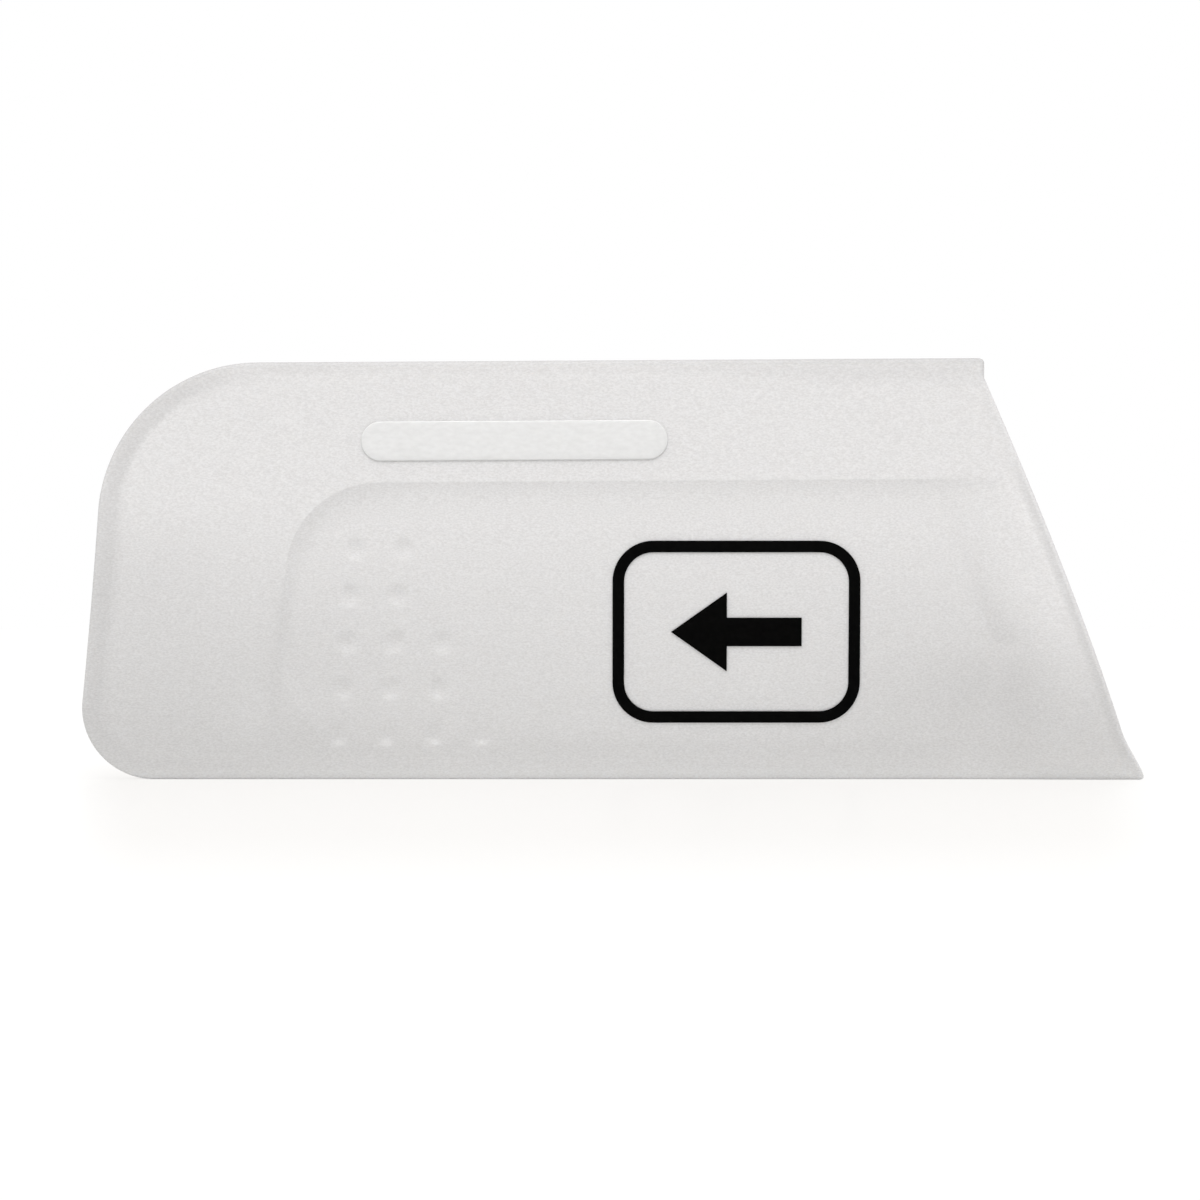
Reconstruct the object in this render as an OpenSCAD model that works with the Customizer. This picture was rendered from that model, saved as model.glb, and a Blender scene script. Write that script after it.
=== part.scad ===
// Slide-on blade guard: two moulded shells that meet on a middle seam, and a printed mark.
// It stands on its long lower edge. X runs from the closed back to the mouth, the front faces -Y, Z is up.

/* [Body] */
// Overall length, from the closed back to the tip of the mouth
guard_l = 78.3; // [70:0.1:90]
// Height of the upper edge at the mouth
guard_h = 31; // [29:0.5:36]
// Thickness over both shells at the upper band
guard_t = 16; // [13:0.5:20]
// Wall of both shells
wall_t = 1.25; // [1:0.05:1.6]
// Fall of the upper edge toward the back, in degrees
top_fall = 0.35; // [0:0.05:1]
// Lean of the back end, in degrees
back_lean = 5.4; // [0:0.2:9]
// Radius of the upper back corner
crown_r = 11.75; // [8:0.25:13]
// Radius of the lower back corner
heel_r = 5.2; // [4:0.1:7]
// Radius of the curve that thins the body toward its lower edge
belly_r = 42; // [38:1:60]
// Height at which that curve starts
belly_z = 20.5; // [17:0.5:22]

/* [Edge rounding] */
// Rounding along the upper edge
top_round = 0.3; // [0.2:0.05:1.2]
// Rounding round the back
back_round = 0.3; // [0.2:0.05:1.2]
// Rounding along the lower edge
base_round = 0.2; // [0.15:0.05:1.2]
// Rounding inside each shell
inner_round = 0.5; // [0.2:0.1:0.8]

/* [Mouth] */
// How far the lower end of the mouth stands ahead of its upper end
mouth_rake = 12.1; // [8:0.1:16]
// How far the middle of the mouth bows out
mouth_bow = 0.45; // [0:0.05:1]
// How far the upper wall stands out of the raked line
top_lip = 0.65; // [0:0.05:1]
// How far the lower wall stands out of the raked line
base_lip = 0.62; // [0:0.02:0.8]
// Height of that lower lip
base_lip_h = 3.6; // [1.5:0.1:5]
// Rounding of the mouth's rim, on its outer face and at both ends
rim_round = 0.35; // [0.2:0.05:0.4]
// Band along the mouth that keeps the mouth's own fuller section
collar_w = 2.2; // [1.5:0.1:4]
// Width of the flare from the grip recess up to that band
flare_w = 4.8; // [3:0.1:7]
// Length of the flare's tail at the lower edge
flare_tail = 8; // [0:0.5:14]
// Height above the lower edge where the tail begins
flare_tail_z = 10; // [6:0.5:13]
// Height at which the mouth's section starts to thin
mouth_belly_z = 13.1; // [12:0.1:16]
// Radius of the curve that thins it
mouth_belly_r = 24.5; // [21:0.5:50]

/* [Grip recess] */
// Upper edge of the guard down to the recess
recess_drop = 8.85; // [7:0.05:11]
// Lower edge of the guard up to the recess
recess_foot = 2.6; // [2.4:0.1:4]
// Back of the guard to the recess
recess_back = 14.1; // [11:0.1:18]
// Corner radius of the recess
recess_r = 6.9; // [5:0.1:8]
// Depth of the recess below its upper border
recess_depth = 0.35; // [0.2:0.05:0.8]
// Width of the cove along the recess's upper and lower borders
cove_w = 2.9; // [1.5:0.05:3.5]
// Width of the cove along its back border
back_cove_w = 1.3; // [0.8:0.05:3.5]

/* [Grip dimples] */
// Dimple width on the face
dimple_w = 1.65; // [1:0.05:2]
// Dimple depth
dimple_depth = 0.14; // [0.1:0.01:0.4]
// Spacing along a row
dimple_pitch = 3.5; // [2.8:0.05:4]
// Spacing of the rows
dimple_rise = 3.42; // [2.8:0.02:3.6]
// Back of the recess to the first dimple, measured along the lowest row
dimple_inset = 4.95; // [4:0.05:6]
// Border of the recess to the lowest row
dimple_foot = 0.7; // [0.5:0.05:1.5]
// Dimples in the lowest row
dimple_row_1 = 4; // [1:1:5]
// Dimples in the second row
dimple_row_2 = 3; // [1:1:5]
// Dimples in the third row
dimple_row_3 = 3; // [1:1:5]
// Dimples in the fourth row
dimple_row_4 = 2; // [1:1:5]
// Dimples in the top row
dimple_row_5 = 2; // [1:1:5]

/* [Seam] */
// Width of the tongue on the front shell's seam face
tongue_w = 0.4; // [0.3:0.05:0.5]
// Height of that tongue
tongue_h = 0.5; // [0.3:0.05:0.8]
// Clearance round the tongue in its groove
tongue_gap = 0.05; // [0.02:0.01:0.08]
// Bevel on both shells along the seam
seam_bevel = 0.15; // [0.05:0.01:0.2]

/* [Snap ribs] */
// Width of the rib inside each shell that grips the knife
rib_w = 1.5; // [1:0.05:1.7]
// Height of the rib over the inner face
rib_h = 0.45; // [0.3:0.05:0.6]
// Length of the rib between its round ends
rib_l = 6; // [4:0.1:9]
// Mouth to the rib
rib_back = 7; // [5:0.1:10]
// Height of the rib's middle over the lower edge
rib_z = 10.5; // [9:0.1:13]

/* [Blank pad] */
// Length of the smooth raised pad on the front's upper band
pad_l = 22.5; // [15:0.5:26]
// Height of the pad's outline
pad_w = 2.9; // [2:0.1:4]
// How far the pad stands out
pad_raise = 0.1; // [0.06:0.02:0.3]
// Upper edge of the guard down to the pad's middle line
pad_drop = 5.85; // [5:0.05:6.5]
// Back of the guard to the pad's middle
pad_x = 31.9; // [28:0.1:36]

/* [Printed mark] */
// Width of the mark's frame
mark_w = 18.2; // [12:0.2:20]
// Border of the recess down to the frame
mark_top_gap = 4.55; // [3:0.05:6]
// Border of the recess up to the frame
mark_foot_gap = 1.6; // [1:0.05:3]
// Width of the frame's line
mark_line = 0.85; // [0.5:0.05:1.2]
// Corner radius of the frame
mark_r = 3; // [1.5:0.1:4.5]
// Thickness of the ink
ink_t = 0.06; // [0.04:0.01:0.1]
// Clearance under the ink
ink_gap = 0.01; // [0.005:0.005:0.02]
// Back of the guard to the mark's middle
mark_x = 48.2; // [44:0.1:50]
// Length of the arrow in the frame
arrow_l = 9.6; // [6:0.1:11]
// Height of the arrow's head
arrow_w = 5.8; // [4:0.1:7]
// Length of the arrow's head
head_l = 4.1; // [3:0.1:5]
// Height of the arrow's shaft
shaft_w = 2.1; // [1:0.1:3]

/* [Hidden] */

// Columns of the face grid: along each straight edge, round each corner and up the back
line_cols = 12;
arc_cols = 9;
back_cols = 6;
// Rows: in the recess floor, and round the outer and the inner edge
floor_rows = 2;
round_rows = 4;
// Where the rows of the cove lie, from its border inward
cove_shares = [0, 0.15, 0.35, 0.62, 1];
// Where the columns of the rim's rounding and of the flare lie
rim_shares = [0, 0.25, 1];
flare_shares = [0, 0.25, 0.5, 0.75, 1];
// Facets round a dimple, a rib, and the corners of the mark and the ends of the pad
dimple_fn = 24;
rib_fn = 24;
mark_fn = 48;
// Strips of the printed film over the curved face
mark_strips = 25;

half_t = guard_t / 2;
back_x = -guard_l / 2;
// The rim's rounding stays clear of the groove
rim_clear_share = 0.94;
tongue_in = (wall_t - tongue_w) / 2;
rim_r = min(rim_round, rim_clear_share * (tongue_in - tongue_gap));
recess_h = guard_h - recess_drop - recess_foot;
mark_h = recess_h - mark_top_gap - mark_foot_gap;
mark_z = recess_foot + mark_foot_gap + mark_h / 2;
// The rounded tip of the lower lip reaches the full length
tip_f = 1 - rim_r / guard_h;
tip_reach = mouth_rake * tip_f + 4 * mouth_bow * tip_f * (1 - tip_f)
    + base_lip * ease(1 - rim_r / base_lip_h);
rim_top_x = guard_l / 2 - tip_reach;
lip_fade = 3 * top_lip;
// The middle ring of the face grid, which a strip of faces closes
core_z = recess_foot + recess_h / 2;
core_share = 0.17;
core_r_share = 0.8;
core_half = (recess_h - 2 * cove_w) * core_share;
core_r = core_half * core_r_share;
core_back = recess_back + back_cove_w + recess_r;
lap_h = 2 * (tongue_h + tongue_gap);

function mix(a, b, t) = a + (b - a) * t;
function ease(t) = t <= 0 ? 0 : t >= 1 ? 1 : t * t * (3 - 2 * t);

// The raked, slightly bowed line of the mouth, and what its two lips add to it
function rim_x(z) =
    let (f = 1 - z / guard_h)
    rim_top_x + mouth_rake * f + 4 * mouth_bow * f * (1 - f);
function lip(z) = max(0, rim_top_x + top_lip - rim_x(z)) + base_lip * ease(1 - z / base_lip_h);
function rim_cut(d) = d >= rim_r ? 0 : rim_r - sqrt(rim_r ^ 2 - (rim_r - d) ^ 2);
function top_z(x) = guard_h - (rim_top_x - x) * tan(top_fall);

// A ring: the guard's outline moved inward by its own amount at the top, the back and the base.
// Each point is [distance behind the mouth, height], from the mouth's top round the back to its bottom.
function back_line_x(z, inset) =
    back_x - heel_r * (tan(back_lean) + 1 / cos(back_lean) - 1) + z * tan(back_lean) + inset / cos(back_lean);
function crown_centre(top_in, back_in, r) =
    let (
        m = tan(top_fall),
        n = tan(back_lean),
        a = top_z(0) - top_in - r / cos(top_fall),
        b = back_line_x(0, back_in) + r / cos(back_lean),
        x = (b + n * a) / (1 - n * m)
    )
    [x, a + m * x];
function heel_centre(base_in, back_in, r) =
    let (z = base_in + r)
    [back_line_x(z, back_in) + r / cos(back_lean), z];
function behind(p) = [rim_x(p[1]) - p[0], p[1]];
function arc(centre, r, a0, a1, n) =
    [for (i = [0:n]) behind(centre + r * [cos(mix(a0, a1, i / n)), sin(mix(a0, a1, i / n))])];
// Places along a straight edge, from the mouth: its rim, its collar and flare, then even steps
mouth_steps = concat([for (s = rim_shares) s * rim_r], [for (s = flare_shares) collar_w + s * flare_w]);
function edge_steps(last) =
    concat(mouth_steps, [for (i = [1:line_cols - 1]) mix(collar_w + flare_w, last, i / line_cols)]);
function ring(top_in, back_in, base_in, crown, heel) =
    let (
        cc = crown_centre(top_in, back_in, crown),
        hc = heel_centre(base_in, back_in, heel),
        crown_arc = arc(cc, crown, 90 + top_fall, 180 - back_lean, arc_cols),
        heel_arc = arc(hc, heel, 180 - back_lean, 270, arc_cols),
        p = crown_arc[arc_cols],
        q = heel_arc[0],
        tops = [for (d = edge_steps(crown_arc[0][0])) [d, top_z(rim_x(guard_h - top_in) - d) - top_in]],
        bases = [for (d = edge_steps(heel_arc[arc_cols][0])) [d, base_in]]
    )
    concat(
        tops,
        crown_arc,
        [for (i = [1:back_cols - 1]) mix(p, q, i / back_cols)],
        heel_arc,
        [for (i = [len(bases) - 1:-1:0]) bases[i]]
    );
edge_cols = len(mouth_steps) + line_cols - 1;
last_col = 2 * edge_cols + 2 * arc_cols + back_cols;

// Half thickness of the body: the mouth's fuller section flares out of the thinner one with the recess,
// with a sharp start near the upper edge and a longer tail toward the lower one
function thin(z, start, r) = z >= start ? 0 : r - sqrt(r ^ 2 - (start - z) ^ 2);
function hollow(z) = recess_depth * sqrt(max(0, min(1, (z - recess_foot) / recess_h)));
function cove(t) = t <= 0 ? 0 : t >= 1 ? 1 : 1 - (1 - t) ^ 2;
function tail(z) = flare_tail * max(0, 1 - z / flare_tail_z);
function flare(u, w, all) =
    u <= 0 ? 0 : u >= all ? 1 : u < w ? u ^ 2 / (w * all) : 1 - (all - u) ^ 2 / ((all - w) * all);
function face_y(d, z, t) = half_t - mix(
    thin(z, mouth_belly_z, mouth_belly_r),
    thin(z, belly_z, belly_r) + hollow(z) * cove(t),
    flare(d - collar_w, flare_w, flare_w + tail(z)));
// The same at any place on the face
function face_at(x, z) =
    face_y(rim_x(z) - x, z, min(
        (top_z(x) - recess_drop - z) / cove_w,
        (z - recess_foot) / cove_w,
        (x - back_line_x(z, recess_back)) * cos(back_lean) / back_cove_w));

// Edge rounding at a column: it changes from the top's to the back's and the base's round the corners
function corner_share(i, first) = max(0, min(1, (i - first) / arc_cols));
function round_at(i) =
    mix(
        mix(top_round, back_round, corner_share(i, edge_cols)),
        base_round,
        corner_share(i, edge_cols + arc_cols + back_cols)
    );

// A grid point: the mouth's lips and corners are laid over its ring, and its rim is rounded by a share
function place(p, y, rim_share = 0) =
    let (
        d = p[0],
        high = top_z(rim_x(p[1]) - d) - rim_cut(d),
        z = max(rim_cut(d), min(high, p[1])),
        reach = lip_fade > 0 ? lip(z) * max(0, 1 - d / lip_fade) : 0
    )
    [rim_x(z) - d + reach, y + rim_share * rim_cut(d), z];

// Rings of the face, from its middle outward, each with its share of the cove
core_ring = ring(guard_h - core_z - core_half, core_back, core_z - core_half, core_r, core_r);
function recess_ring(t) =
    let (r = recess_r - t * (cove_w + back_cove_w) / 2)
    ring(recess_drop + t * cove_w, recess_back + t * back_cove_w, recess_foot + t * cove_w, r, r);
function offset_ring(s, top, back, base) =
    ring(s * top, s * back, s * base, crown_r - s * (top + back) / 2, heel_r - s * (base + back) / 2);
function mix_rings(a, b, t) = [for (i = [0:last_col]) mix(a[i], b[i], t)];

function face_rows(rim_ring, y_in, rim_share) =
    let (
        cove_ring = recess_ring(1),
        border_ring = recess_ring(0)
    )
    concat(
        [for (k = [0:floor_rows]) let (r = mix_rings(core_ring, cove_ring, k / (floor_rows + 1)))
            [for (p = r) place(p, y_in - face_y(p[0], p[1], 1), rim_share)]],
        [for (k = [len(cove_shares) - 1:-1:0]) let (t = cove_shares[k], r = recess_ring(t))
            [for (p = r) place(p, y_in - face_y(p[0], p[1], t), rim_share)]],
        [let (r = mix_rings(border_ring, rim_ring, 0.5))
            [for (p = r) place(p, y_in - face_y(p[0], p[1], 0), rim_share)]]
    );
// The rounded edge: quarter turns whose radius follows the column and is at least that of the mouth's rim
function round_row(ring_points, a, y_in, radii, rim_share) =
    [for (i = [0:last_col]) let (p = ring_points[i], r = max(radii[i], rim_share * rim_cut(p[0])))
        place(p, y_in - face_y(p[0], p[1], 0) + r * (1 - sin(a)), rim_share * sin(a))];

outer_radii = [for (i = [0:last_col]) round_at(i)];
inner_radii = [for (i = [0:last_col]) inner_round];
round_angles = [for (k = [round_rows:-1:0]) 90 * k / round_rows];
flat_inner = [for (a = round_angles) wall_t + inner_round * (1 - cos(a))];

outer_rows = concat(
    face_rows(offset_ring(1, top_round, back_round, base_round), 0, 1),
    [for (a = round_angles)
        round_row(offset_ring(1 - cos(a), top_round, back_round, base_round), a, 0, outer_radii, 1)],
    [[for (p = offset_ring(0, 1, 1, 1)) place(p, -lap_h)]],
    [[for (p = offset_ring(0, 1, 1, 1)) place(p, -seam_bevel)]],
    [[for (p = offset_ring(seam_bevel, 1, 1, 1)) place(p, 0)]]
);
inner_rows = concat(
    face_rows(offset_ring(flat_inner[0], 1, 1, 1), wall_t, 0),
    [for (k = [0:round_rows])
        round_row(offset_ring(flat_inner[k], 1, 1, 1), round_angles[k], wall_t, inner_radii, 0)],
    [[for (p = offset_ring(wall_t, 1, 1, 1)) place(p, -lap_h)]],
    [[for (p = offset_ring(wall_t, 1, 1, 1)) place(p, 0)]]
);
// The step on the seam face: up for the tongue, down and wider for its groove
function step_rows(gap, h) = [
    [for (p = offset_ring(tongue_in - gap, 1, 1, 1)) place(p, 0)],
    [for (p = offset_ring(tongue_in - gap, 1, 1, 1)) place(p, h)],
    [for (p = offset_ring(tongue_in + tongue_w + gap, 1, 1, 1)) place(p, h)],
    [for (p = offset_ring(tongue_in + tongue_w + gap, 1, 1, 1)) place(p, 0)]
];

// One shell's skin as a closed body: outer face, seam, inner face, and the rim of the mouth
module skin(gap, h) {
    rows = concat(outer_rows, step_rows(gap, h), [for (k = [len(inner_rows) - 1:-1:0]) inner_rows[k]]);
    n = len(rows);
    w = last_col + 1;
    half = floor(last_col / 2);
    sides = [for (j = [0:n - 2]) for (i = [0:last_col - 1]) each [
        [j * w + i, (j + 1) * w + i + 1, (j + 1) * w + i],
        [j * w + i, j * w + i + 1, (j + 1) * w + i + 1]
    ]];
    // A strip closes the middle of the outer and of the inner face
    middle = [for (i = [0:half - 1]) let (a = i, b = i + 1, c = last_col - i - 1, e = last_col - i) each (
        b == c ? [[a, e, b], [(n - 1) * w + a, (n - 1) * w + b, (n - 1) * w + e]] : [
            [a, c, b],
            [a, e, c],
            [(n - 1) * w + a, (n - 1) * w + b, (n - 1) * w + c],
            [(n - 1) * w + a, (n - 1) * w + c, (n - 1) * w + e]
        ])];
    // At the mouth, rows of the outer face meet rows of the inner face up to the lap beside the seam
    lap = len(outer_rows) - 3;
    strip = [for (j = [0:lap - 1]) each [[j, j + 1, n - 2 - j], [j, n - 2 - j, n - 1 - j]]];
    // From there on: the outer face's bevel and edge, the step's four corners, and the inner edge and lap
    bevel = lap + 1;
    edge = lap + 2;
    c0 = lap + 3;
    c1 = lap + 4;
    c2 = lap + 5;
    c3 = lap + 6;
    inner_edge = lap + 7;
    inner_lap = lap + 8;
    seam_end = h > 0
        ? [[lap, bevel, c0], [bevel, edge, c0], [lap, c0, c3], [lap, c3, inner_lap],
            [c3, inner_edge, inner_lap], [c0, c1, c2], [c0, c2, c3]]
        : [[lap, bevel, c1], [bevel, edge, c1], [edge, c0, c1], [lap, c1, c2],
            [lap, c2, inner_lap], [c2, c3, inner_edge], [c2, inner_edge, inner_lap]];
    ends = concat(strip, seam_end);
    rim = concat(
        [for (f = ends) [f[0] * w, f[1] * w, f[2] * w]],
        [for (f = ends) [f[0] * w + last_col, f[2] * w + last_col, f[1] * w + last_col]],
        [[0, (n - 1) * w + last_col, last_col], [0, (n - 1) * w, (n - 1) * w + last_col]]
    );
    polyhedron(points = [for (r = rows) each r], faces = concat(sides, middle, rim), convexity = 8);
}

// A ball that leaves one dimple in the face
dimple_ball_r = (dimple_w ^ 2 / 4 + dimple_depth ^ 2) / (2 * dimple_depth);
module dimple(x, z) {
    step = dimple_w / 2;
    slope = (face_at(x, z + step) - face_at(x, z - step)) / (2 * step);
    tilt = atan(slope);
    stand = dimple_ball_r - dimple_depth;
    translate([x, -face_at(x, z) - stand * cos(tilt), z - stand * sin(tilt)])
        sphere(r = dimple_ball_r, $fn = dimple_fn);
}
module dimples() {
    counts = [dimple_row_1, dimple_row_2, dimple_row_3, dimple_row_4, dimple_row_5];
    for (k = [0:len(counts) - 1]) {
        z = recess_foot + dimple_foot + k * dimple_rise;
        for (i = [0:counts[k] - 1]) dimple(back_line_x(z, recess_back + dimple_inset) + i * dimple_pitch, z);
    }
}

// A round-ended rib, sunk in the inner face beside the mouth and in line with it
module snap_rib() {
    rake = atan(mouth_rake / guard_h);
    ends = [for (s = [-1, 1]) let (z = rib_z + s * rib_l / 2 * cos(rake), x = rim_x(z) - rib_back)
        [x, -face_at(x, z) + wall_t + rib_h - rib_w / 2, z]];
    run = ends[1] - ends[0];
    translate(ends[0]) sphere(d = rib_w, $fn = rib_fn);
    translate(ends[1]) sphere(d = rib_w, $fn = rib_fn);
    translate(ends[0])
        rotate([0, acos(run[2] / norm(run)), atan2(run[1], run[0])])
        cylinder(h = norm(run), d = rib_w, $fn = rib_fn);
}

// The blank pad's outline, stood on the front's upper band
module pad() {
    end_x = (pad_l - pad_w) / 2;
    translate([back_x + pad_x, -half_t + wall_t / 2, top_z(back_x + pad_x) - pad_drop])
        rotate([90, -top_fall, 0])
        linear_extrude(height = wall_t / 2 + pad_raise)
        union() {
            square([2 * end_x, pad_w], center = true);
            translate([end_x, 0]) circle(d = pad_w, $fn = mark_fn);
            translate([-end_x, 0]) circle(d = pad_w, $fn = mark_fn);
        }
}

module front_shell() color([0.9, 0.89, 0.88]) union() {
    difference() {
        skin(0, tongue_h);
        dimples();
    }
    pad();
    snap_rib();
}

module rear_shell() color([0.86, 0.85, 0.84]) mirror([0, 1, 0]) union() {
    difference() {
        skin(tongue_gap, -tongue_h - tongue_gap);
        dimples();
    }
    snap_rib();
}

// The mark's outline: a round-cornered frame and an arrow toward the closed back
module rounded(w, h, r) {
    square([w - 2 * r, h], center = true);
    square([w, h - 2 * r], center = true);
    for (sx = [-1, 1]) for (sy = [-1, 1])
        translate([sx * (w / 2 - r), sy * (h / 2 - r)]) circle(r = r, $fn = mark_fn);
}
module mark_outline() {
    difference() {
        rounded(mark_w, mark_h, mark_r);
        rounded(mark_w - 2 * mark_line, mark_h - 2 * mark_line, mark_r - mark_line);
    }
    polygon([
        [-arrow_l / 2, 0],
        [-arrow_l / 2 + head_l, arrow_w / 2],
        [-arrow_l / 2 + head_l, shaft_w / 2],
        [arrow_l / 2, shaft_w / 2],
        [arrow_l / 2, -shaft_w / 2],
        [-arrow_l / 2 + head_l, -shaft_w / 2],
        [-arrow_l / 2 + head_l, -arrow_w / 2]
    ]);
}
module printed_mark() {
    mx = back_x + mark_x;
    zs = [for (k = [0:mark_strips]) mark_z + mark_h * (k / mark_strips - 0.5)];
    color([0.02, 0.02, 0.02])
        intersection() {
            translate([mx, 0, mark_z]) rotate([90, 0, 0]) linear_extrude(height = guard_t) mark_outline();
            translate([mx + mark_w / 2, 0, 0]) rotate([90, 0, -90])
                linear_extrude(height = mark_w)
                polygon(concat(
                    [for (z = zs) [face_at(mx, z) + ink_gap, z]],
                    [for (k = [mark_strips:-1:0]) [face_at(mx, zs[k]) + ink_gap + ink_t, zs[k]]]
                ));
        }
}

front_shell();
rear_shell();
printed_mark();
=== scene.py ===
"""Slide-on blade guard of frosted plastic: two moulded shells with a grip recess and a printed mark."""

import math

import bpy
import numpy as np
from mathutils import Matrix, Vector


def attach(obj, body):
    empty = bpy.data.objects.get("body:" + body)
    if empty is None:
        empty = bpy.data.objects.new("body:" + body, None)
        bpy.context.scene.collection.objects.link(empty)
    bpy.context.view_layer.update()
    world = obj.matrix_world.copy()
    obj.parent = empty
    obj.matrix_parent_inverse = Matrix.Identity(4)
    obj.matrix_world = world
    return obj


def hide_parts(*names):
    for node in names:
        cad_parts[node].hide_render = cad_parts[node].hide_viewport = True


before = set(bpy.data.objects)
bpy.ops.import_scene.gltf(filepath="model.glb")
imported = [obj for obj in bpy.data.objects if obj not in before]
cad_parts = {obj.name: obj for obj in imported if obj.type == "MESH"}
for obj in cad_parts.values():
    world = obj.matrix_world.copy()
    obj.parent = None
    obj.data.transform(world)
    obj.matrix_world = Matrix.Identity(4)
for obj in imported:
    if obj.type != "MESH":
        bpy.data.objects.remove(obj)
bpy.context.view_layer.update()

# Sizes of the guard in millimetres, the same as in the part's source
MM = 0.001
GUARD_L, GUARD_H, GUARD_T, WALL_T = 78.3, 31.0, 16.0, 1.25
TOP_FALL, BACK_LEAN = math.radians(0.35), math.radians(5.4)
CROWN_R, HEEL_R = 11.75, 5.2
BELLY_R, BELLY_Z = 42.0, 20.5
TOP_ROUND, BACK_ROUND, BASE_ROUND, INNER_ROUND = 0.3, 0.3, 0.06, 0.5
MOUTH_RAKE, MOUTH_BOW = 12.1, 0.45
TOP_LIP, BASE_LIP, BASE_LIP_H = 0.65, 0.62, 3.6
RIM_ROUND, COLLAR_W, FLARE_W, FLARE_TAIL, FLARE_TAIL_Z = 0.35, 2.2, 4.8, 8.0, 10.0
MOUTH_BELLY_Z, MOUTH_BELLY_R = 13.1, 24.5
RECESS_DROP, RECESS_FOOT, RECESS_BACK, RECESS_R = 8.85, 2.6, 14.1, 6.9
RECESS_DEPTH, COVE_W, BACK_COVE_W = 0.35, 2.9, 1.3
DIMPLE_W, DIMPLE_DEPTH, DIMPLE_PITCH, DIMPLE_RISE = 1.65, 0.1, 3.5, 3.42
DIMPLE_INSET, DIMPLE_FOOT = 4.95, 0.7
DIMPLE_ROWS = (4, 3, 3, 2, 2)
# How wide a dimple's edge is softened, how far past it that reaches, and what counts as none of it
DIMPLE_SOFT, DIMPLE_REACH, DIMPLE_CUT = 0.03, 0.7 * DIMPLE_W, 0.004
TONGUE_W, TONGUE_H, TONGUE_GAP, SEAM_BEVEL = 0.4, 0.5, 0.05, 0.15
RIB_W, RIB_H, RIB_L, RIB_BACK, RIB_Z = 1.5, 0.45, 6.0, 7.0, 10.5
PAD_L, PAD_W, PAD_RAISE, PAD_DROP, PAD_X = 22.5, 2.9, 0.1, 5.85, 31.9
# The pad's rounded edge, how far its foot is sunk in the face, and the slight rise of its top
PAD_ROUND, PAD_FOOT, PAD_CROWN = 0.08, 0.3, 0.006

# Columns of the shell's mesh: the mouth, then coarse and fine steps along an edge, corners and back
RIM_SHARES = (0, 0.06, 0.2, 0.45, 0.72, 1)
COLLAR_STEPS, FLARE_STEPS, FLARE_END = 5, 16, 8.5
COARSE_COLS, FINE_COLS, COARSE_SHARE = 56, 40, 0.78
ARC_COLS, BACK_COLS = 56, 32
# Rows of the outer and of the inner face: floor, cove, border and rounding
OUTER_ROWS = (44, 10, 26, 10)
INNER_ROWS = (12, 4, 8, 4)
CORE_HALF, CORE_R = 0.8, 0.5
# Painted light: the inside is painted paler, for the light that comes through the real wall
INNER_PAINTED_LIGHT = 0.13
# A fold in the mesh sharper than this shows as an edge
SHARP_ANGLE = math.radians(35)

HALF_T = GUARD_T / 2
BACK_X = -GUARD_L / 2
RECESS_H = GUARD_H - RECESS_DROP - RECESS_FOOT
TONGUE_IN = (WALL_T - TONGUE_W) / 2
LAP_H = 2 * (TONGUE_H + TONGUE_GAP)
LIP_FADE = 3 * TOP_LIP


def mix(a, b, t):
    return a + (b - a) * t


def ease(t):
    t = np.clip(t, 0, 1)
    return t * t * (3 - 2 * t)


def quarter(d, r):
    """How far a rounding of radius r has fallen at distance d from its outer end."""
    d = np.minimum(d, r)
    return r - np.sqrt(r**2 - (r - d) ** 2)


TIP_F = 1 - RIM_ROUND / GUARD_H
TIP_REACH = (
    MOUTH_RAKE * TIP_F
    + 4 * MOUTH_BOW * TIP_F * (1 - TIP_F)
    + BASE_LIP * float(ease(1 - RIM_ROUND / BASE_LIP_H))
)
RIM_TOP_X = GUARD_L / 2 - TIP_REACH


def rim_x(z):
    """The raked, slightly bowed line of the mouth."""
    f = 1 - z / GUARD_H
    return RIM_TOP_X + MOUTH_RAKE * f + 4 * MOUTH_BOW * f * (1 - f)


def lip(z):
    """How far the two lips of the mouth stand out of that line."""
    upper = np.maximum(0, RIM_TOP_X + TOP_LIP - rim_x(z))
    return upper + BASE_LIP * ease(1 - z / BASE_LIP_H)


def top_z(x):
    return GUARD_H - (RIM_TOP_X - x) * math.tan(TOP_FALL)


def back_line_x(z, inset):
    lean = math.tan(BACK_LEAN)
    slope = 1 / math.cos(BACK_LEAN)
    return BACK_X - HEEL_R * (lean + slope - 1) + z * lean + inset * slope


def crown_centre(top_in, back_in, r):
    m = math.tan(TOP_FALL)
    n = math.tan(BACK_LEAN)
    a = top_z(0) - top_in - r / math.cos(TOP_FALL)
    b = back_line_x(0, back_in) + r / math.cos(BACK_LEAN)
    x = (b + n * a) / (1 - n * m)
    return x, a + m * x


def heel_centre(base_in, back_in, r):
    z = base_in + r
    return back_line_x(z, back_in) + r / math.cos(BACK_LEAN), z


def arc(centre, r, start, end):
    """Points round a corner, as [distance behind the mouth, height]."""
    a = np.linspace(start, end, ARC_COLS + 1)
    z = centre[1] + r * np.sin(a)
    return np.stack([rim_x(z) - centre[0] - r * np.cos(a), z], 1)


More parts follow.
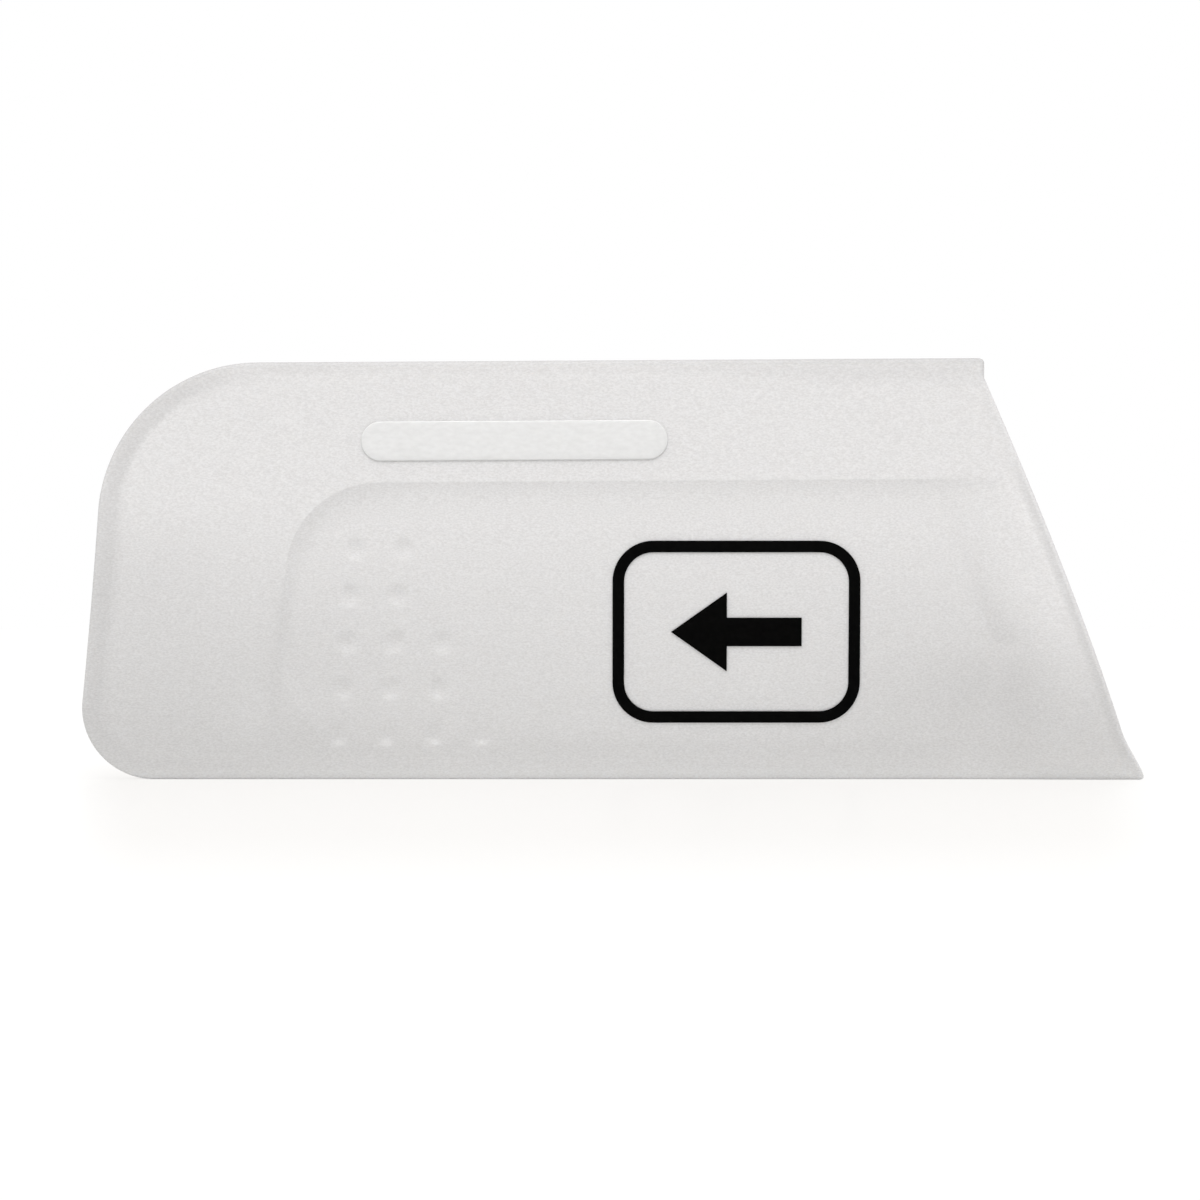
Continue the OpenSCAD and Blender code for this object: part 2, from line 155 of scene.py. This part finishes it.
MOUTH_STEPS = np.concatenate(
    [
        np.array(RIM_SHARES) * RIM_ROUND,
        np.linspace(RIM_ROUND, COLLAR_W, COLLAR_STEPS + 1)[1:],
        np.linspace(COLLAR_W, FLARE_END, FLARE_STEPS + 1)[1:],
    ]
)
LINE_SHARES = np.concatenate(
    [
        np.linspace(0, COARSE_SHARE, COARSE_COLS + 1)[1:],
        np.linspace(COARSE_SHARE, 1, FINE_COLS + 1)[1:-1],
    ]
)
EDGE_COLS = len(MOUTH_STEPS) + len(LINE_SHARES)
LAST_COL = 2 * EDGE_COLS + 2 * ARC_COLS + BACK_COLS


def edge_steps(last):
    return np.concatenate([MOUTH_STEPS, mix(FLARE_END, last, LINE_SHARES)])


def ring(top_in, back_in, base_in, crown, heel):
    """The outline moved inward by its own amount at the top, the back and the base."""
    turn = math.pi - BACK_LEAN
    crown_arc = arc(crown_centre(top_in, back_in, crown), crown, math.pi / 2 + TOP_FALL, turn)
    heel_arc = arc(heel_centre(base_in, back_in, heel), heel, turn, math.pi * 1.5)
    d = edge_steps(crown_arc[0, 0])
    tops = np.stack([d, top_z(rim_x(GUARD_H - top_in) - d) - top_in], 1)
    d = edge_steps(heel_arc[-1, 0])
    bases = np.stack([d, np.full(len(d), base_in)], 1)
    t = (np.arange(1, BACK_COLS) / BACK_COLS)[:, None]
    back = mix(crown_arc[-1], heel_arc[0], t)
    return np.concatenate([tops, crown_arc, back, heel_arc, bases[::-1]])


def offset_ring(s, top=1.0, back=1.0, base=1.0):
    crown = CROWN_R - s * (top + back) / 2
    return ring(s * top, s * back, s * base, crown, HEEL_R - s * (base + back) / 2)


def recess_ring(t):
    r = RECESS_R - t * (COVE_W + BACK_COVE_W) / 2
    return ring(RECESS_DROP + t * COVE_W, RECESS_BACK + t * BACK_COVE_W, RECESS_FOOT + t * COVE_W, r, r)


def thin(z, start, r):
    z = np.minimum(z, start)
    return r - np.sqrt(r**2 - (start - z) ** 2)


def flare(d, z):
    """0 at the mouth's collar and 1 behind the flare, which has a longer tail toward the lower edge."""
    tail = FLARE_TAIL * np.clip(1 - z / FLARE_TAIL_Z, 0, 1)
    whole = FLARE_W + tail
    u = np.clip(d - COLLAR_W, 0, whole)
    rise = u**2 / (FLARE_W * whole)
    fall = 1 - (whole - u) ** 2 / (np.maximum(tail, 0.001) * whole)
    return np.where(u < FLARE_W, rise, fall)


def face_y(d, z, t):
    """Half thickness of the body at a place behind the mouth, at a height and at a share of the cove."""
    hollow = RECESS_DEPTH * np.sqrt(np.clip((z - RECESS_FOOT) / RECESS_H, 0, 1))
    cove = 1 - (1 - np.clip(t, 0, 1)) ** 2
    mouth = thin(z, MOUTH_BELLY_Z, MOUTH_BELLY_R)
    body = thin(z, BELLY_Z, BELLY_R) + hollow * cove
    return HALF_T - mix(mouth, body, flare(d, z))


def face_at(x, z):
    slant = (x - back_line_x(z, RECESS_BACK)) * math.cos(BACK_LEAN) / BACK_COVE_W
    t = np.minimum(np.minimum(top_z(x) - RECESS_DROP - z, z - RECESS_FOOT) / COVE_W, slant)
    return face_y(rim_x(z) - x, z, t)


def outline_depth(x, z):
    """How far inside the outline a place on the face lies."""
    depth = np.minimum(np.minimum(top_z(x) - z, z), (x - back_line_x(z, 0)) * math.cos(BACK_LEAN))
    for centre, r, side in ((crown_centre, CROWN_R, 1), (heel_centre, HEEL_R, -1)):
        cx, cz = centre(0, 0, r)
        corner = (x < cx) & ((z - cz) * side > 0)
        depth = np.where(corner, r - np.hypot(x - cx, z - cz), depth)
    return depth


def hump(t):
    """1 at 0, fading softly to both sides."""
    return np.exp(-(t**2))


# Painted light and shade tones: strengths are shares of the colour, and places and widths are in millimetres
def painted_edge_shade(x, y, z, d, depth):
    """Painted shade where a wall is seen edge on (back, top, outline, mouth) and over the top rounding's
    highlight.
    """
    side = np.interp(z, (0, 4, 8, 16, 24, 31), (0.02, 0.045, 0.06, 0.09, 0.125, 0.12)) * ease((-24 - x) / 8)
    start = np.interp(z, (8, 16, 24), (1.3, 1.4, 1.15))
    fade = np.interp(z, (8, 16, 24), (0.55, 0.7, 0.55))
    band = side * (1 - ease((depth - start) / fade))
    toward_mouth = ease(x / 20)
    # Painted shade along the top edge
    top = 0.03 * (1 + toward_mouth) * (1 - ease((depth - 0.7) / (0.35 + 1.4 * toward_mouth)))
    top = top * ease((z - 27) / 2)
    line = np.interp(d, (0, 0.2, 0.35, 0.65, 0.85), (0.02, 0.03, 0.135, 0.135, 0))
    rim = line * np.interp(z, (5, 12, 21, 24), (0.6, 1, 1, 0.3))
    # Painted shade that dulls the highlight on the rounded top and crown edge
    edge = (1 - ease(depth / 0.45)) * np.interp(z, (22, 27, 30, 31), (0, 0.14, 0.19, 0.29))
    edge = edge * (1 - ease((HALF_T - 0.4 - np.abs(y)) / 1.5))
    crown_end = 0.035 * hump((x + 23) / 3.2) * (1 - ease((depth - 0.6) / 0.5)) * ease(z - 29)
    return edge + crown_end + np.maximum(np.maximum(band, top), rim)


def painted_recess_light_and_shade(x, z, d):
    """Painted light over the thin floor of the recess, painted shade in the creases at its back and its
    border's end.
    """
    under = top_z(x) - RECESS_DROP - z
    slant = (x - back_line_x(z, RECESS_BACK)) * math.cos(BACK_LEAN)
    inside = ease(np.minimum(under, slant) / 1.2) * ease((19 - z) / 6) * np.clip((d - 3) / 5, 0, 1)
    inside = inside * np.interp(z, (1, 4, 7, 14), (0.7, 1.3, 1.4, 0.4))
    floor = inside * np.interp(x, (-25, -12, 0, 11, 20), (-0.005, 0.03, 0.04, 0.045, 0.01))
    border = 0.03 * ease(under / 0.3) * (1 - ease((under - 1) / 2)) * ease((x + 19) / 6) * ease((d - 3) / 5)
    # Painted shade in the crease at the recess's back
    crease = 0.035 * hump((slant + 0.05) / 0.5) * ease((16 - z) / 3) * ease((z - 2.5) / 2)
    border_end = 0.04 * hump((under - 0.35) / 0.45) * ease((x - 23.2) / 1.5) * ease((29 - x) / 1.5)
    return floor + border - crease - border_end


def painted_foot_light(x, z):
    """Painted light along the lower edge and over the heel of the recess."""
    foot = 0.07 * ease((2.7 - z) / 2.2) + 0.1 * ease((1 - z) / 0.8)
    foot = foot + np.interp(x, (14, 20, 26, 30, 36), (0, 0.005, 0.04, 0.03, 0.02)) * ease((5 - z) / 3)
    heel = 0.036 * hump((x + 26) / 2.4) * hump((z - 4.6) / 1.8)
    return foot + heel + 0.015 * hump((x + 17) / 9) * hump((z - 6.2) / 1.6)


def painted_mouth_light_and_shade(x, z, d):
    """Painted light beside the mouth's upper part, painted shade in the dip of the flare."""
    clear = 0.042 * hump((d - 1.3) / 0.75) * hump((z - 19) / 2.8)
    dip = np.interp(z, (3, 7.4, 8.8, 10.2, 14), (0.05, 0.07, 0.052, 0.012, 0))
    return clear - dip * hump((x - 29) / np.where(x < 29, 6, 2.6))


def painted_light_and_shade(points):
    """Painted light and shade: how much paler or darker the face is, for light the walls let through or hold
    back.
    """
    x, y, z = points.T
    d = rim_x(z) + lip(z) * np.maximum(0, 1 - (rim_x(z) - x) / LIP_FADE) - x
    depth = outline_depth(x, z)
    # Painted shade near the back, at mid height
    painted_back_shade = 0.03 * (1 - ease((depth - 4) / 8)) * hump((z - 15) / 4) * ease((-20 - x) / 5)
    paler = painted_recess_light_and_shade(x, z, d) + painted_foot_light(x, z) + painted_mouth_light_and_shade(x, z, d) + painted_dimple_glint(x, z)
    return paler - painted_back_shade - painted_edge_shade(x, y, z, d, depth)


def dimple_places():
    """Each dimple's row and centre."""
    for k, count in enumerate(DIMPLE_ROWS):
        z = RECESS_FOOT + DIMPLE_FOOT + k * DIMPLE_RISE
        for i in range(count):
            yield k, back_line_x(z, RECESS_BACK + DIMPLE_INSET) + i * DIMPLE_PITCH, z


def painted_dimple_glint(x, z):
    """Painted highlight: a glint painted on the lower side of the lower dimples."""
    tone = np.zeros(len(x))
    for k, dx, dz in dimple_places():
        glint = (0.12, 0.06, 0.015, 0, 0)[k]
        tone += glint * hump((x - dx) / 0.42) * hump((z - dz + 0.58) / 0.27)
    return tone


def corner_share(first):
    return np.clip((np.arange(LAST_COL + 1) - first) / ARC_COLS, 0, 1)


EDGE_RADII = mix(
    mix(TOP_ROUND, BACK_ROUND, corner_share(EDGE_COLS)),
    BASE_ROUND,
    corner_share(EDGE_COLS + ARC_COLS + BACK_COLS),
)


def place(p, y, rim_share=0.0):
    """Points of a row: the mouth's lips and rounded rim are laid over its ring."""
    d, z = p[:, 0], p[:, 1]
    cut = quarter(d, RIM_ROUND)
    z = np.maximum(cut, np.minimum(top_z(rim_x(z) - d) - cut, z))
    reach = lip(z) * np.maximum(0, 1 - d / LIP_FADE)
    return np.stack([rim_x(z) - d + reach, y + rim_share * cut, z], 1)


def face_rows(counts, rim_ring, y_in, rim_share):
    """Rows from the middle of a face out to where its rounding starts."""
    floor, cove, border, _ = counts
    core_z = RECESS_FOOT + RECESS_H / 2
    core = ring(
        GUARD_H - core_z - CORE_HALF,
        RECESS_BACK + COVE_W + RECESS_R,
        core_z - CORE_HALF,
        CORE_R,
        CORE_R,
    )
    rings = [(mix(core, recess_ring(1), k / floor), 1.0) for k in range(floor)]
    for k in range(cove + 1):
        t = (1 - k / cove) ** 1.6
        rings.append((recess_ring(t), t))
    for k in range(border):
        rings.append((mix(recess_ring(0), rim_ring, 0.004 + 0.996 * ease(k / border)), 0.0))
    return [place(p, y_in - face_y(p[:, 0], p[:, 1], t), rim_share) for p, t in rings]


def outer_rows():
    radii = (TOP_ROUND, BACK_ROUND, BASE_ROUND)
    rows = face_rows(OUTER_ROWS, offset_ring(1, *radii), 0, 1)
    for a in np.linspace(math.pi / 2, 0, OUTER_ROWS[3] + 1):
        p = offset_ring(1 - math.cos(a), *radii)
        fall = np.maximum(EDGE_RADII, quarter(p[:, 0], RIM_ROUND)) * (1 - math.sin(a))
        rows.append(place(p, fall - face_y(p[:, 0], p[:, 1], 0), math.sin(a)))
    side = rows[-1][:, 1]
    p = offset_ring(0)
    rows += [place(p, mix(side, -LAP_H, t)) for t in (0.25, 0.5, 0.75, 1)]
    return rows


def inner_rows():
    rows = face_rows(INNER_ROWS, offset_ring(WALL_T + INNER_ROUND), WALL_T, 0)
    for a in np.linspace(math.pi / 2, 0, INNER_ROWS[3] + 1):
        p = offset_ring(WALL_T + INNER_ROUND * (1 - math.cos(a)))
        fall = INNER_ROUND * (1 - math.sin(a))
        rows.append(place(p, WALL_T + fall - face_y(p[:, 0], p[:, 1], 0)))
    rows.append(place(offset_ring(WALL_T), -LAP_H))
    return rows


def press_dimples(rows):
    """The grip dimples, pressed into the rows of the face."""
    ball = (DIMPLE_W**2 / 4 + DIMPLE_DEPTH**2) / (2 * DIMPLE_DEPTH)
    for _, x, z in dimple_places():
        for row in rows:
            r = np.hypot(row[:, 0] - x, row[:, 2] - z)
            cap = np.sqrt(np.maximum(ball**2 - np.minimum(r, DIMPLE_REACH) ** 2, 0)) - ball + DIMPLE_DEPTH
            depth = (cap + np.sqrt(cap**2 + DIMPLE_SOFT**2)) / 2
            row[:, 1] += np.where(r < DIMPLE_REACH, np.maximum(depth - DIMPLE_CUT, 0), 0)


def raise_rib(rows):
    """The snap rib beside the mouth, raised from the rows of the inner face."""
    rake = math.atan(MOUTH_RAKE / GUARD_H)
    ends = []
    for s in (-1, 1):
        z = RIB_Z + s * RIB_L / 2 * math.cos(rake)
        ends.append(np.array([float(rim_x(z)) - RIB_BACK, z]))
    run = ends[1] - ends[0]
    for row in rows:
        p = row[:, (0, 2)]
        t = np.clip((p - ends[0]) @ run / (run @ run), 0, 1)
        r = np.linalg.norm(p - ends[0] - t[:, None] * run, axis=1)
        rise = np.sqrt(np.maximum((RIB_W / 2) ** 2 - r**2, 0)) - RIB_W / 2 + RIB_H
        row[:, 1] += np.maximum(rise, 0)


def zip_lines(a, b, points):
    """Triangles between two lines of points, given as lists of indices."""
    faces, i, j = [], 0, 0
    while i < len(a) - 1 or j < len(b) - 1:
        step_a = j == len(b) - 1
        if i < len(a) - 1 and not step_a:
            across = np.linalg.norm(points[a[i + 1]] - points[b[j]])
            step_a = across <= np.linalg.norm(points[a[i]] - points[b[j + 1]])
        if step_a:
            faces.append((a[i], a[i + 1], b[j]))
            i += 1
        else:
            faces.append((a[i], b[j + 1], b[j]))
            j += 1
    return faces


def shell_mesh(gap, h):
    """One shell as a closed body: outer face, seam with its tongue or groove, inner face and rim."""
    outer, inner = outer_rows(), inner_rows()
    press_dimples(outer[: sum(OUTER_ROWS[:3]) + 2])
    raise_rib(inner[: sum(INNER_ROWS[:3]) + 2])
    seam = [
        place(offset_ring(0), -SEAM_BEVEL),
        place(offset_ring(SEAM_BEVEL), 0),
        place(offset_ring(TONGUE_IN - gap), 0),
        place(offset_ring(TONGUE_IN - gap), h),
        place(offset_ring(TONGUE_IN + TONGUE_W + gap), h),
        place(offset_ring(TONGUE_IN + TONGUE_W + gap), 0),
        place(offset_ring(WALL_T), 0),
    ]
    rows = outer + seam + inner[::-1]
    n, w = len(rows), LAST_COL + 1
    points = np.concatenate(rows)
    faces = []
    for j in range(n - 1):
        for i in range(LAST_COL):
            a = j * w + i
            faces.append((a, a + 1, a + w + 1, a + w))
    half = LAST_COL // 2
    base = (n - 1) * w
    for i in range(half):
        b, c, e = i + 1, LAST_COL - i - 1, LAST_COL - i
        if b >= c:
            faces.append((i, e, b))
            faces.append((base + i, base + b, base + e))
        else:
            faces.append((i, e, c, b))
            faces.append((base + i, base + b, base + c, base + e))
    lap = len(outer) - 1
    inner_lap = n - len(inner)
    bevel, edge, c0, c1, c2, c3, inner_edge = range(lap + 1, lap + 8)
    if h > 0:
        fans = [
            (lap, bevel, c0),
            (bevel, edge, c0),
            (lap, c0, c3, inner_lap),
            (c3, inner_edge, inner_lap),
            (c0, c1, c2, c3),
        ]
    else:
        fans = [
            (lap, bevel, c1),
            (bevel, edge, c1),
            (edge, c0, c1),
            (lap, c1, c2, inner_lap),
            (c2, c3, inner_edge),
            (c2, inner_edge, inner_lap),
        ]
    for column, turn in ((0, 1), (LAST_COL, -1)):
        a = [j * w + column for j in range(lap + 1)]
        b = [j * w + column for j in range(n - 1, inner_lap - 1, -1)]
        faces += [f[::turn] for f in zip_lines(a, b, points)]
        faces += [tuple(j * w + column for j in f)[::turn] for f in fans]
    faces.append((0, base, base + LAST_COL, LAST_COL))
    # Painted light and shade, stored on the points
    tone = painted_light_and_shade(points)
    # The inside is painted paler, as painted light
    inside = slice(-len(inner) * w, None)
    behind = rim_x(points[inside, 2]) - points[inside, 0]
    tone[inside] = mix(tone[inside], INNER_PAINTED_LIGHT, ease((behind - 1) / 6))
    return points, faces, tone


def volume(points, faces):
    total = 0.0
    for f in faces:
        for k in range(1, len(f) - 1):
            total += float(np.dot(points[f[0]], np.cross(points[f[k]], points[f[k + 1]])))
    return total / 6


def make_piece(name, points, faces, tone=None):
    """A smooth-shaded piece in metres from points in millimetres, its faces turned outward."""
    if volume(points, faces) < 0:
        faces = [f[::-1] for f in faces]
    mesh = bpy.data.meshes.new(name)
    mesh.from_pydata((points * MM).tolist(), [], faces)
    mesh.validate()
    mesh.shade_smooth()
    mesh.set_sharp_from_angle(angle=SHARP_ANGLE)
    # The painted light and shade tone is stored on the points
    if tone is not None:
        stored = mesh.attributes.new("painted_light_and_shade", "FLOAT", "POINT")
        stored.data.foreach_set("value", tone.astype(np.float32))
    piece = bpy.data.objects.new(name, mesh)
    bpy.context.scene.collection.objects.link(piece)
    return piece


def stadium(inset, count=96):
    """The round-ended outline of the pad, moved inward."""
    r = PAD_W / 2 - inset
    a = np.linspace(0, 2 * math.pi, count, endpoint=False) + math.pi / count
    shift = np.where(np.cos(a) > 0, 1, -1) * (PAD_L - PAD_W) / 2
    return np.stack([shift + r * np.cos(a), r * np.sin(a)], 1)


def pad_mesh():
    """The blank pad: soft edges and a very slightly crowned top."""
    stages = [(0.0, -PAD_FOOT), (0.0, PAD_RAISE - PAD_ROUND)]
    for a in np.linspace(0, math.pi / 2, 5)[1:]:
        stages.append((PAD_ROUND * (1 - math.cos(a)), PAD_RAISE - PAD_ROUND * (1 - math.sin(a))))
    for inset in (0.4, 0.8, 1.15, PAD_W / 2 - 0.02):
        stages.append((inset, PAD_RAISE + PAD_CROWN * inset))
    x0 = BACK_X + PAD_X
    z0 = float(top_z(x0)) - PAD_DROP
    rows = []
    for inset, out in stages:
        p = stadium(inset)
        x = x0 + p[:, 0] * math.cos(TOP_FALL) - p[:, 1] * math.sin(TOP_FALL)
        z = z0 + p[:, 0] * math.sin(TOP_FALL) + p[:, 1] * math.cos(TOP_FALL)
        rows.append(np.stack([x, np.full(len(p), -HALF_T - out), z], 1))
    w = len(rows[0])
    faces = []
    for j in range(len(rows) - 1):
        for i in range(w):
            k = (i + 1) % w
            faces.append((j * w + i, j * w + k, (j + 1) * w + k, (j + 1) * w + i))
    faces.append(tuple(range(w))[::-1])
    top = (len(rows) - 1) * w
    faces.append(tuple(range(top, top + w)))
    return np.concatenate(rows), faces


# Materials
def node_material(name):
    material = bpy.data.materials.new(name)
    material.use_nodes = True
    nodes = material.node_tree.nodes
    return material, nodes, material.node_tree.links, nodes["Principled BSDF"]


def math_node(nodes, links, operation, *values):
    node = nodes.new("ShaderNodeMath")
    node.operation = operation
    for socket, value in zip(node.inputs, values):
        if isinstance(value, (int, float)):
            socket.default_value = value
        else:
            links.new(value, socket)
    return node.outputs[0]


def mix_shader(nodes, links, factor, a, b):
    node = nodes.new("ShaderNodeMixShader")
    for socket, value in zip(node.inputs, (factor, a, b)):
        links.new(value, socket)
    return node.outputs[0]


def noise(nodes, links, coords, scale, detail=2.0, rough=0.5):
    node = nodes.new("ShaderNodeTexNoise")
    node.inputs["Scale"].default_value = scale
    node.inputs["Detail"].default_value = detail
    node.inputs["Roughness"].default_value = rough
    links.new(coords, node.inputs["Vector"])
    return node.outputs["Fac"]


def ramp(nodes, links, value, low, high, start=0.3, end=0.7):
    node = nodes.new("ShaderNodeValToRGB")
    node.color_ramp.elements[0].position = start
    node.color_ramp.elements[0].color = (*low, 1)
    node.color_ramp.elements[1].position = end
    node.color_ramp.elements[1].color = (*high, 1)
    links.new(value, node.inputs["Fac"])
    return node.outputs["Color"]


def tinted(nodes, links, colour):
    """The colour made paler or darker by the painted light and shade stored on the shell's points."""
    tone = nodes.new("ShaderNodeAttribute")
    tone.attribute_name = "painted_light_and_shade"
    scaled = nodes.new("ShaderNodeVectorMath")
    scaled.operation = "SCALE"
    links.new(colour, scaled.inputs[0])
    links.new(math_node(nodes, links, "ADD", tone.outputs["Fac"], 1.0), scaled.inputs["Scale"])
    return scaled.outputs[0]


def frosted(name, dark, light, grain, fineness=0.6, roughness=(0.5, 0.62), size=5200, toned=True):
    """Frosted polypropylene: scattering body, fine spark-eroded grain and a soft sheen."""
    material, nodes, links, shader = node_material(name)
    stretch = nodes.new("ShaderNodeVectorMath")
    stretch.operation = "MULTIPLY"
    stretch.inputs[1].default_value = (1, 1, 1.9)
    links.new(nodes.new("ShaderNodeTexCoord").outputs["Object"], stretch.inputs[0])
    coords = stretch.outputs[0]
    fine = noise(nodes, links, coords, size, 3, 0.6)
    colour = ramp(nodes, links, fine, dark, light, 0.32, 0.68)
    # Painted light and shade from the tone stored on the points
    if toned:
        colour = tinted(nodes, links, colour)
    links.new(colour, shader.inputs["Base Color"])
    broad = noise(nodes, links, coords, 420, 2)
    scale = nodes.new("ShaderNodeMapRange")
    scale.inputs["To Min"].default_value = roughness[0]
    scale.inputs["To Max"].default_value = roughness[1]
    links.new(broad, scale.inputs["Value"])
    links.new(scale.outputs["Result"], shader.inputs["Roughness"])
    bump = nodes.new("ShaderNodeBump")
    bump.inputs["Strength"].default_value = grain
    bump.inputs["Distance"].default_value = 0.00003
    links.new(noise(nodes, links, coords, 4600, 4, fineness), bump.inputs["Height"])
    links.new(bump.outputs["Normal"], shader.inputs["Normal"])
    shader.inputs["IOR"].default_value = 1.49
    shader.inputs["Specular IOR Level"].default_value = 0.35
    shader.inputs["Subsurface Weight"].default_value = 0.35
    shader.inputs["Subsurface Radius"].default_value = (1.0, 0.97, 0.92)
    shader.inputs["Subsurface Scale"].default_value = 0.0009
    return material


def seen_white(nodes, links):
    """1 for rays from the camera and for reflected and refracted ones."""
    path = nodes.new("ShaderNodeLightPath")
    value = path.outputs["Is Camera Ray"]
    for other in ("Is Glossy Ray", "Is Transmission Ray"):
        value = math_node(nodes, links, "MAXIMUM", value, path.outputs[other])
    return value


def add(nodes, links, a, b):
    node = nodes.new("ShaderNodeAddShader")
    links.new(a, node.inputs[0])
    links.new(b, node.inputs[1])
    return node.outputs[0]


def soft_step(nodes, links, value, low, high):
    """From 0 at low to 1 at high, and the other way round when low is the larger."""
    node = nodes.new("ShaderNodeMapRange")
    node.interpolation_type = "SMOOTHSTEP"
    node.inputs["From Min"].default_value = low
    node.inputs["From Max"].default_value = high
    links.new(value, node.inputs["Value"])
    return node.outputs["Result"]


plastic = frosted("frosted_plastic", dark=(0.7485, 0.7327, 0.729), light=(0.8735, 0.8608, 0.861), grain=0.35)
smooth_plastic = frosted(
    "smooth_plastic",
    dark=(0.85, 0.838, 0.828),
    light=(0.91, 0.9, 0.89),
    grain=0.06,
    fineness=0.5,
    roughness=(0.28, 0.36),
    size=1700,
    toned=False,
)

ink, nodes, links, shader = node_material("ink")
coords = nodes.new("ShaderNodeTexCoord").outputs["Object"]
speck = noise(nodes, links, coords, 2600, 3)
black = ramp(nodes, links, speck, (0.0012, 0.0012, 0.0012), (0.0028, 0.0027, 0.0026))
links.new(black, shader.inputs["Base Color"])
shader.inputs["Roughness"].default_value = 0.6
shader.inputs["Specular IOR Level"].default_value = 0.02

# Pieces
points, faces, tone = shell_mesh(0, TONGUE_H)
front = make_piece("front_shell_skin", points, faces, tone=tone)
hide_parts("front_shell")
points, faces, tone = shell_mesh(TONGUE_GAP, -TONGUE_H - TONGUE_GAP)
rear = make_piece("rear_shell_skin", points * (1, -1, 1), faces, tone=tone)
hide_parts("rear_shell")
pad = make_piece("blank_pad", *pad_mesh())
for piece, material in ((front, plastic), (rear, plastic), (pad, smooth_plastic)):
    piece.data.materials.append(material)
    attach(piece, "root")
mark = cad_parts["printed_mark"]
mark.data.materials.clear()
mark.data.materials.append(ink)

# Floor: it looks white, and keeps the object's real shadow, a painted soft shade round it and a faint
# blurred reflection
floor_mesh = bpy.data.meshes.new("floor")
floor_mesh.from_pydata([(-3, -3, 0), (3, -3, 0), (3, 3, 0), (-3, 3, 0)], [], [(0, 1, 2, 3)])
floor = bpy.data.objects.new("floor", floor_mesh)
bpy.context.scene.collection.objects.link(floor)
floor_material = bpy.data.materials.new("floor")
floor_material.use_nodes = True
nodes, links = floor_material.node_tree.nodes, floor_material.node_tree.links
nodes.clear()

# A faint soft painted shade round the guard, in metres: its half width at the seam, how that changes behind
# the seam, and where it fades at its sides, away from the guard and behind it
SHADE_HALF, SHADE_SPREAD = 0.0375, 0.063
SIDE_FADE, AWAY_FADE, BEHIND_FADE = (-0.005, 0.002), (0.29, 0.13), (0.09, 0.02)
place_on_floor = nodes.new("ShaderNodeNewGeometry").outputs["Position"]
parts = nodes.new("ShaderNodeSeparateXYZ")
links.new(place_on_floor, parts.inputs[0])
half_width = math_node(nodes, links, "MULTIPLY_ADD", parts.outputs["Y"], SHADE_SPREAD, SHADE_HALF)
sideways = math_node(nodes, links, "ABSOLUTE", parts.outputs["X"])
inside = math_node(nodes, links, "SUBTRACT", half_width, sideways)
away = nodes.new("ShaderNodeVectorMath")
away.operation = "LENGTH"
links.new(place_on_floor, away.inputs[0])
near = soft_step(nodes, links, away.outputs["Value"], *AWAY_FADE)
shade = math_node(nodes, links, "MULTIPLY", soft_step(nodes, links, inside, *SIDE_FADE), near)
before = soft_step(nodes, links, parts.outputs["Y"], *BEHIND_FADE)
shade = math_node(nodes, links, "MULTIPLY", shade, before)
# Painted shade: the floor's white is tinted grey under the shade mask
painted_shade_colour = nodes.new("ShaderNodeMix")
painted_shade_colour.data_type = "RGBA"
painted_shade_colour.inputs["A"].default_value = (1, 0.997, 0.99, 1)
painted_shade_colour.inputs["B"].default_value = (0.93, 0.917, 0.9, 1)
links.new(shade, painted_shade_colour.inputs["Factor"])
glow = nodes.new("ShaderNodeEmission")
glow.inputs["Strength"].default_value = 0.975
links.new(painted_shade_colour.outputs["Result"], glow.inputs["Color"])
seen_diffuse = nodes.new("ShaderNodeBsdfDiffuse")
seen_diffuse.inputs["Color"].default_value = (0.06, 0.06, 0.06, 1)
mirror = nodes.new("ShaderNodeBsdfGlossy")
mirror.inputs["Color"].default_value = (1, 1, 1, 1)
mirror.inputs["Roughness"].default_value = 0.28
plain = add(nodes, links, glow.outputs[0], seen_diffuse.outputs[0])
seen = mix_shader(nodes, links, math_node(nodes, links, "MULTIPLY", near, 0.11), plain, mirror.outputs[0])
lit = nodes.new("ShaderNodeBsdfDiffuse")
lit.inputs["Color"].default_value = (0.665, 0.67, 0.66, 1)
choose = mix_shader(nodes, links, seen_white(nodes, links), lit.outputs[0], seen)
links.new(choose, nodes.new("ShaderNodeOutputMaterial").inputs["Surface"])
floor_mesh.materials.append(floor_material)

# Surroundings: white where they are seen, a plain fill where they light
world = bpy.data.worlds.new("studio")
bpy.context.scene.world = world
world.use_nodes = True
nodes, links = world.node_tree.nodes, world.node_tree.links
nodes.clear()
white = nodes.new("ShaderNodeBackground")
white.inputs["Color"].default_value = (1, 1, 1, 1)
white.inputs["Strength"].default_value = 1.0
fill = nodes.new("ShaderNodeBackground")
fill.inputs["Color"].default_value = (1, 1, 1, 1)
fill.inputs["Strength"].default_value = 0.59
choose = mix_shader(nodes, links, seen_white(nodes, links), fill.outputs[0], white.outputs[0])
links.new(choose, nodes.new("ShaderNodeOutputWorld").inputs["Surface"])

# Key lamp: a soft square one above the front
light = bpy.data.lights.new("key", "AREA")
light.shape = "SQUARE"
light.size = 0.5
light.energy = 5.41
lamp = bpy.data.objects.new("key", light)
lamp.location = (-0.05, -0.4545, 0.802)
aim = Vector((0, 0, 0.015)) - Vector(lamp.location)
lamp.rotation_euler = aim.to_track_quat("-Z", "Y").to_euler()
bpy.context.scene.collection.objects.link(lamp)

# Camera: straight at the front. In millimetres, its distance from the seam and the width seen there
CAMERA_AWAY, VIEW_W = 600, 89.18
camera_data = bpy.data.cameras.new("camera")
camera_data.sensor_width = 36
camera_data.lens = 36 * CAMERA_AWAY / VIEW_W
camera = bpy.data.objects.new("camera", camera_data)
camera.location = (-0.00097, -CAMERA_AWAY * MM, 0.01325)
camera.rotation_euler = (math.pi / 2, 0, 0)
bpy.context.scene.collection.objects.link(camera)
bpy.context.scene.camera = camera
bpy.context.scene.view_settings.view_transform = "Standard"
